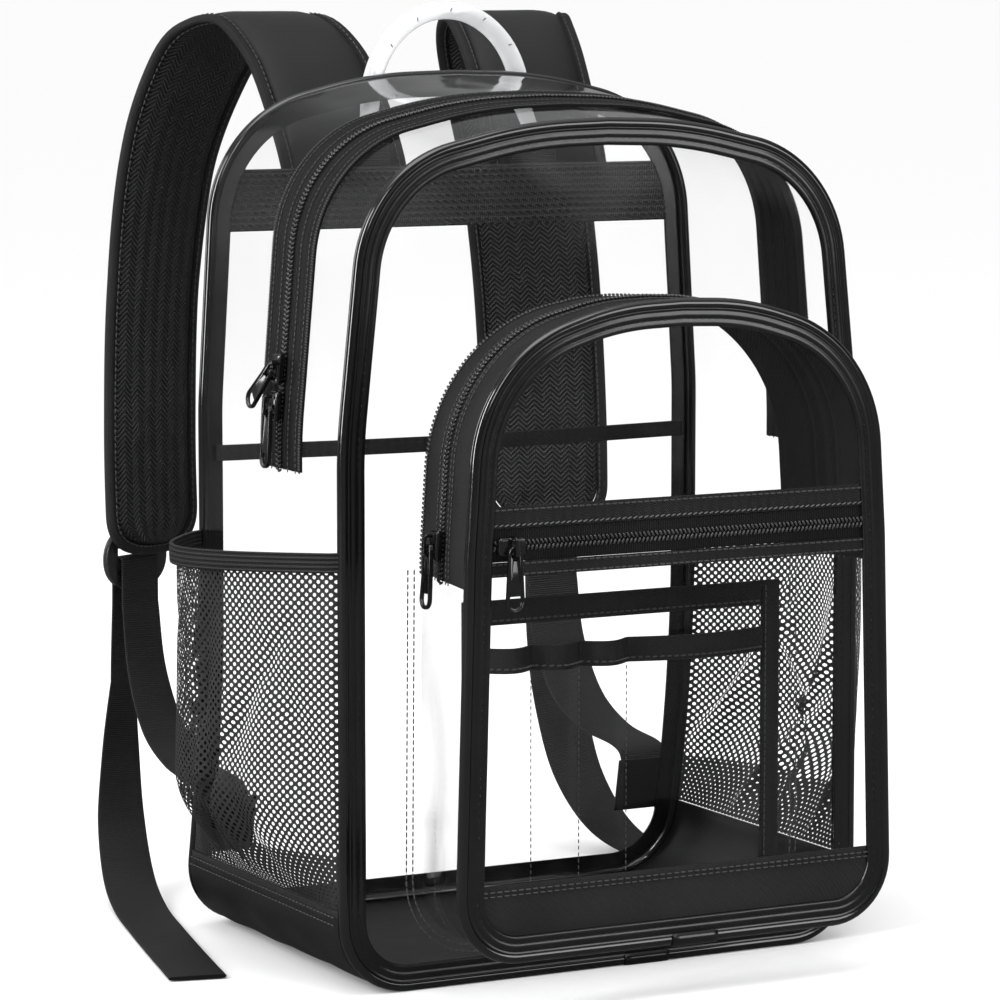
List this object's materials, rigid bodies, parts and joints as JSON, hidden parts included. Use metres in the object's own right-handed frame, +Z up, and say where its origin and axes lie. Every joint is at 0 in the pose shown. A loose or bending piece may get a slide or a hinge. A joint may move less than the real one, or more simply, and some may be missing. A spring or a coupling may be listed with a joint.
{
  "type": "clear stadium backpack",
  "caption": "Clear backpack with black piping, a boxed front pocket with its own zips and inner slots, mesh side pockets, padded shoulder straps and a clear carrying loop.",
  "frame": {"origin": "on the ground, under the middle of the base of the body", "axes": "+Z up, the front pocket faces -Y, +X is the right side seen from the front"},
  "size_m": [0.4276, 0.4061, 0.498],
  "materials": {
    "clear_vinyl": "glossy, flexible",
    "black_cloth": "woven",
    "black_vinyl": "satin",
    "black_webbing": "ribbed",
    "black_mesh": "open mesh",
    "black_plastic": "semi-gloss",
    "black_metal": "glossy"
  },
  "bodies": {
    "bag": {"back_band": "black_webbing", "back_panel": "clear_vinyl", "back_piping": "black_vinyl", "band_slider": "black_metal", "base_tray": "black_vinyl", "buckle_loop_left": "black_webbing", "buckle_loop_right": "black_webbing", "front_panel": "clear_vinyl", "front_piping": "black_vinyl", "front_piping_joint": "black_vinyl", "gusset_back": "clear_vinyl", "gusset_front": "clear_vinyl", "handle": "clear_vinyl", "handle_tab_left": "black_webbing", "handle_tab_right": "black_webbing", "inner_sleeve": "clear_vinyl", "inner_sleeve_hem": "black_cloth", "ladder_lock_left": "black_plastic", "ladder_lock_right": "black_plastic", "main_slider_lower": "black_metal", "main_slider_upper": "black_metal", "main_zip_strip": "black_cloth", "organiser_back": "clear_vinyl", "organiser_front": "clear_vinyl", "organiser_side_binding_left": "black_cloth", "organiser_side_binding_right": "black_cloth", "organiser_slot_binding": "black_cloth", "organiser_top_binding": "black_cloth", "pocket_band_bottom": "black_cloth", "pocket_band_top": "black_cloth", "pocket_band_zip": "black_cloth", "pocket_base_panel": "black_cloth", "pocket_gusset_lower": "clear_vinyl", "pocket_piping": "black_vinyl", "pocket_piping_joint": "black_vinyl", "pocket_slider": "black_metal", "pocket_window_lower": "clear_vinyl", "pocket_window_upper": "clear_vinyl", "pocket_zip_gusset": "black_cloth", "side_hem_left": "black_webbing", "side_hem_right": "black_webbing", "side_mesh_left": "black_mesh", "side_mesh_right": "black_mesh", "side_panel_left": "clear_vinyl", "side_panel_right": "clear_vinyl", "strap_anchor_left": "black_webbing", "strap_anchor_right": "black_webbing", "strap_binding_left": "black_webbing", "strap_binding_right": "black_webbing", "strap_pad_left": "black_cloth", "strap_pad_right": "black_cloth", "strap_webbing_left": "black_webbing", "strap_webbing_right": "black_webbing"},
    "main_pull_upper": {"main_pull_upper": "black_metal"},
    "main_pull_lower": {"main_pull_lower": "black_metal"},
    "pocket_pull": {"pocket_pull": "black_metal"},
    "band_pull": {"band_pull": "black_metal"}
  },
  "joints": [
    {"name": "main_pull_upper_hinge", "type": "hinge", "parent": "bag", "child": "main_pull_upper", "pos_m": [-0.1576, -0.0315, 0.31351], "axis": [0.0651, 0.6428, 0.7633], "range_deg": [0, 150]},
    {"name": "main_pull_lower_hinge", "type": "hinge", "parent": "bag", "child": "main_pull_lower", "pos_m": [-0.15921, -0.0315, 0.29442], "axis": [0, 1, 0], "range_deg": [0, 150]},
    {"name": "pocket_pull_hinge", "type": "hinge", "parent": "bag", "child": "pocket_pull", "pos_m": [-0.12038, -0.13425, 0.23239], "axis": [0, 1, 0], "range_deg": [0, 150]},
    {"name": "band_pull_hinge", "type": "hinge", "parent": "bag", "child": "band_pull", "pos_m": [-0.0975, -0.1818, 0.23525], "axis": [-1, 0, 0], "range_deg": [0, 150]}
  ]
}
